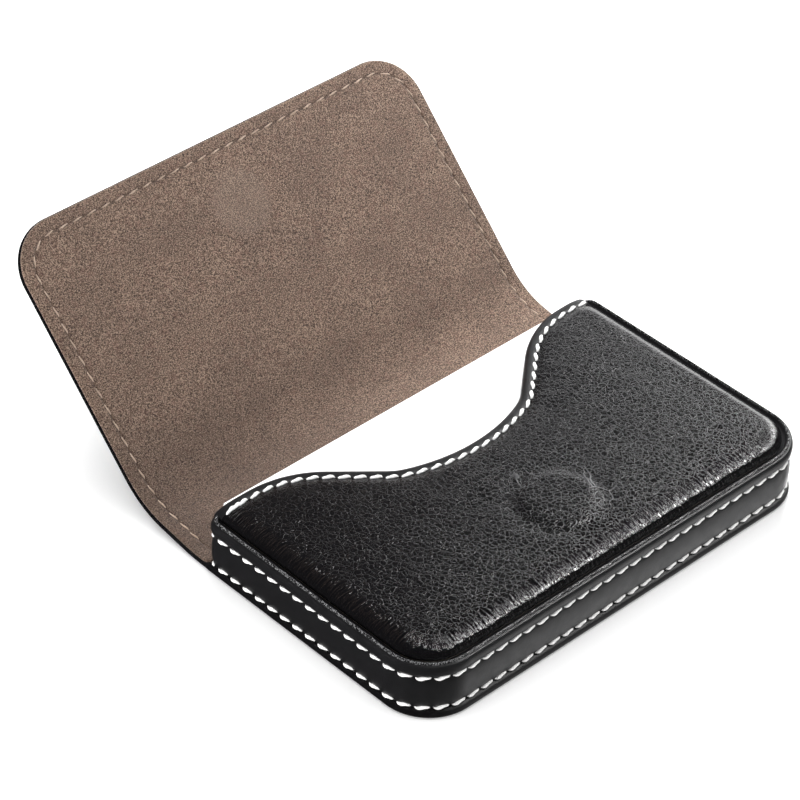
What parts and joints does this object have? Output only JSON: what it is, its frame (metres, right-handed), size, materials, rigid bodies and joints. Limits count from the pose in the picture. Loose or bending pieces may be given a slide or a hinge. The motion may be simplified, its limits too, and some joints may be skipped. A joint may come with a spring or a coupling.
{
  "type": "business card case",
  "caption": "Padded black leather case for business cards, with a scalloped pocket mouth, a magnetic fold-over flap lined in suede, and contrast stitching.",
  "frame": {"origin": "centre of the back face of the case's body, on the surface that the case lies on", "axes": "+X along the pocket's mouth, +Y out of the mouth towards the flap, +Z out of the padded front panel"},
  "size_m": [0.104, 0.1205, 0.045],
  "materials": {
    "grain_leather": "satin",
    "smooth_leather": "satin",
    "suede": "matte",
    "greyboard": "matte",
    "foam": "matte",
    "magnet_steel": "satin",
    "white_thread": "satin",
    "tan_thread": "satin",
    "card_paper": "matte"
  },
  "bodies": {
    "case": {"back_leather": "grain_leather", "back_board": "greyboard", "side_frame": "greyboard", "side_leather": "smooth_leather", "pocket_lining_back": "suede", "pocket_lining_sides": "suede", "pocket_lining_front": "suede", "front_board": "greyboard", "front_foam": "foam", "front_magnet": "magnet_steel", "front_leather": "grain_leather", "mouth_binding": "smooth_leather", "upper_seam_thread": "white_thread", "lower_seam_thread": "white_thread", "mouth_seam_thread": "white_thread"},
    "spine": {"spine_leather": "grain_leather", "spine_board": "greyboard", "spine_lining": "suede", "spine_outer_thread": "white_thread", "spine_inner_thread": "tan_thread"},
    "flap": {"flap_leather": "grain_leather", "flap_board": "greyboard", "flap_magnet": "magnet_steel", "flap_lining": "suede", "flap_outer_thread": "white_thread", "flap_inner_thread": "tan_thread"},
    "cards": {"card_stack": "card_paper"}
  },
  "joints": [
    {"name": "spine_fold", "type": "hinge", "parent": "case", "child": "spine", "pos_m": [0, 0.0341, 0.0009], "axis": [1, 0, 0], "range_deg": [-9, 81]},
    {"name": "flap_fold", "type": "hinge", "parent": "spine", "child": "flap", "pos_m": [0, 0.04921, 0.00329], "axis": [1, 0, 0], "range_deg": [-36.5, 53.5]},
    {"name": "card_slide", "type": "slide", "parent": "case", "child": "cards", "axis": [0, 1, 0], "range_m": [-0.0055, 0]}
  ]
}
